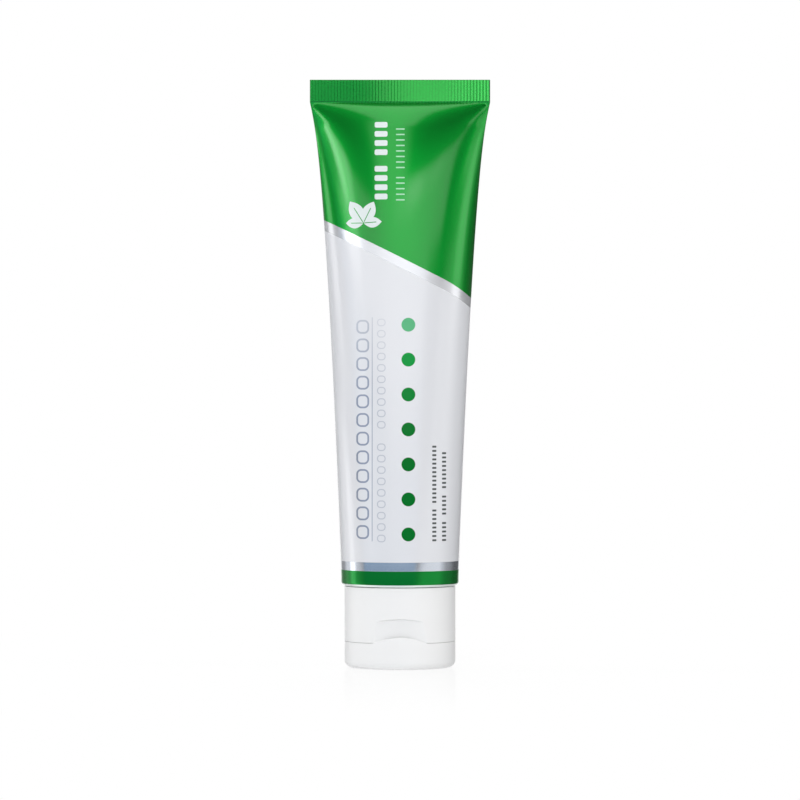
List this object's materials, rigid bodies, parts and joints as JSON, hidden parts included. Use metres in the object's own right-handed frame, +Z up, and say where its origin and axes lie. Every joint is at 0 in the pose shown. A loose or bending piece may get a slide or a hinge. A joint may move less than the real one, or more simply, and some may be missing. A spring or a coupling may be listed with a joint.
{
  "type": "toothpaste tube",
  "caption": "Filled laminate toothpaste tube with a ribbed crimped end, standing on a white flip-top cap with a film-hinged lid.",
  "frame": {"origin": "centre of the flat foot of the closed lid, on the tube's axis, where the tube stands", "axes": "+Z up the tube's axis to the crimp, -Y towards the front with the cap's thumb recess, +X along the crimp to the right of someone who looks at the front"},
  "size_m": [0.0538, 0.035, 0.1749],
  "materials": {
    "printed_film": "pearl laminate film with a metallic green print",
    "shoulder_plastic": "natural moulded polyethylene",
    "cap_plastic": "white satin moulded polypropylene"
  },
  "bodies": {
    "tube": {"tube": "printed_film", "shoulder": "shoulder_plastic"},
    "cap": {"cap_base": "cap_plastic", "living_hinge": "cap_plastic"},
    "lid": {"lid": "cap_plastic"}
  },
  "joints": [
    {"name": "cap_turn", "type": "hinge", "parent": "tube", "child": "cap", "pos_m": [0, 0, 0.0169], "axis": [0, 0, -1], "range_deg": [0, 540]},
    {"name": "lid_hinge", "type": "hinge", "parent": "cap", "child": "lid", "pos_m": [0, 0.01534, 0.00785], "axis": [1, 0, 0], "range_deg": [0, 170], "deforming": ["living_hinge"]}
  ]
}
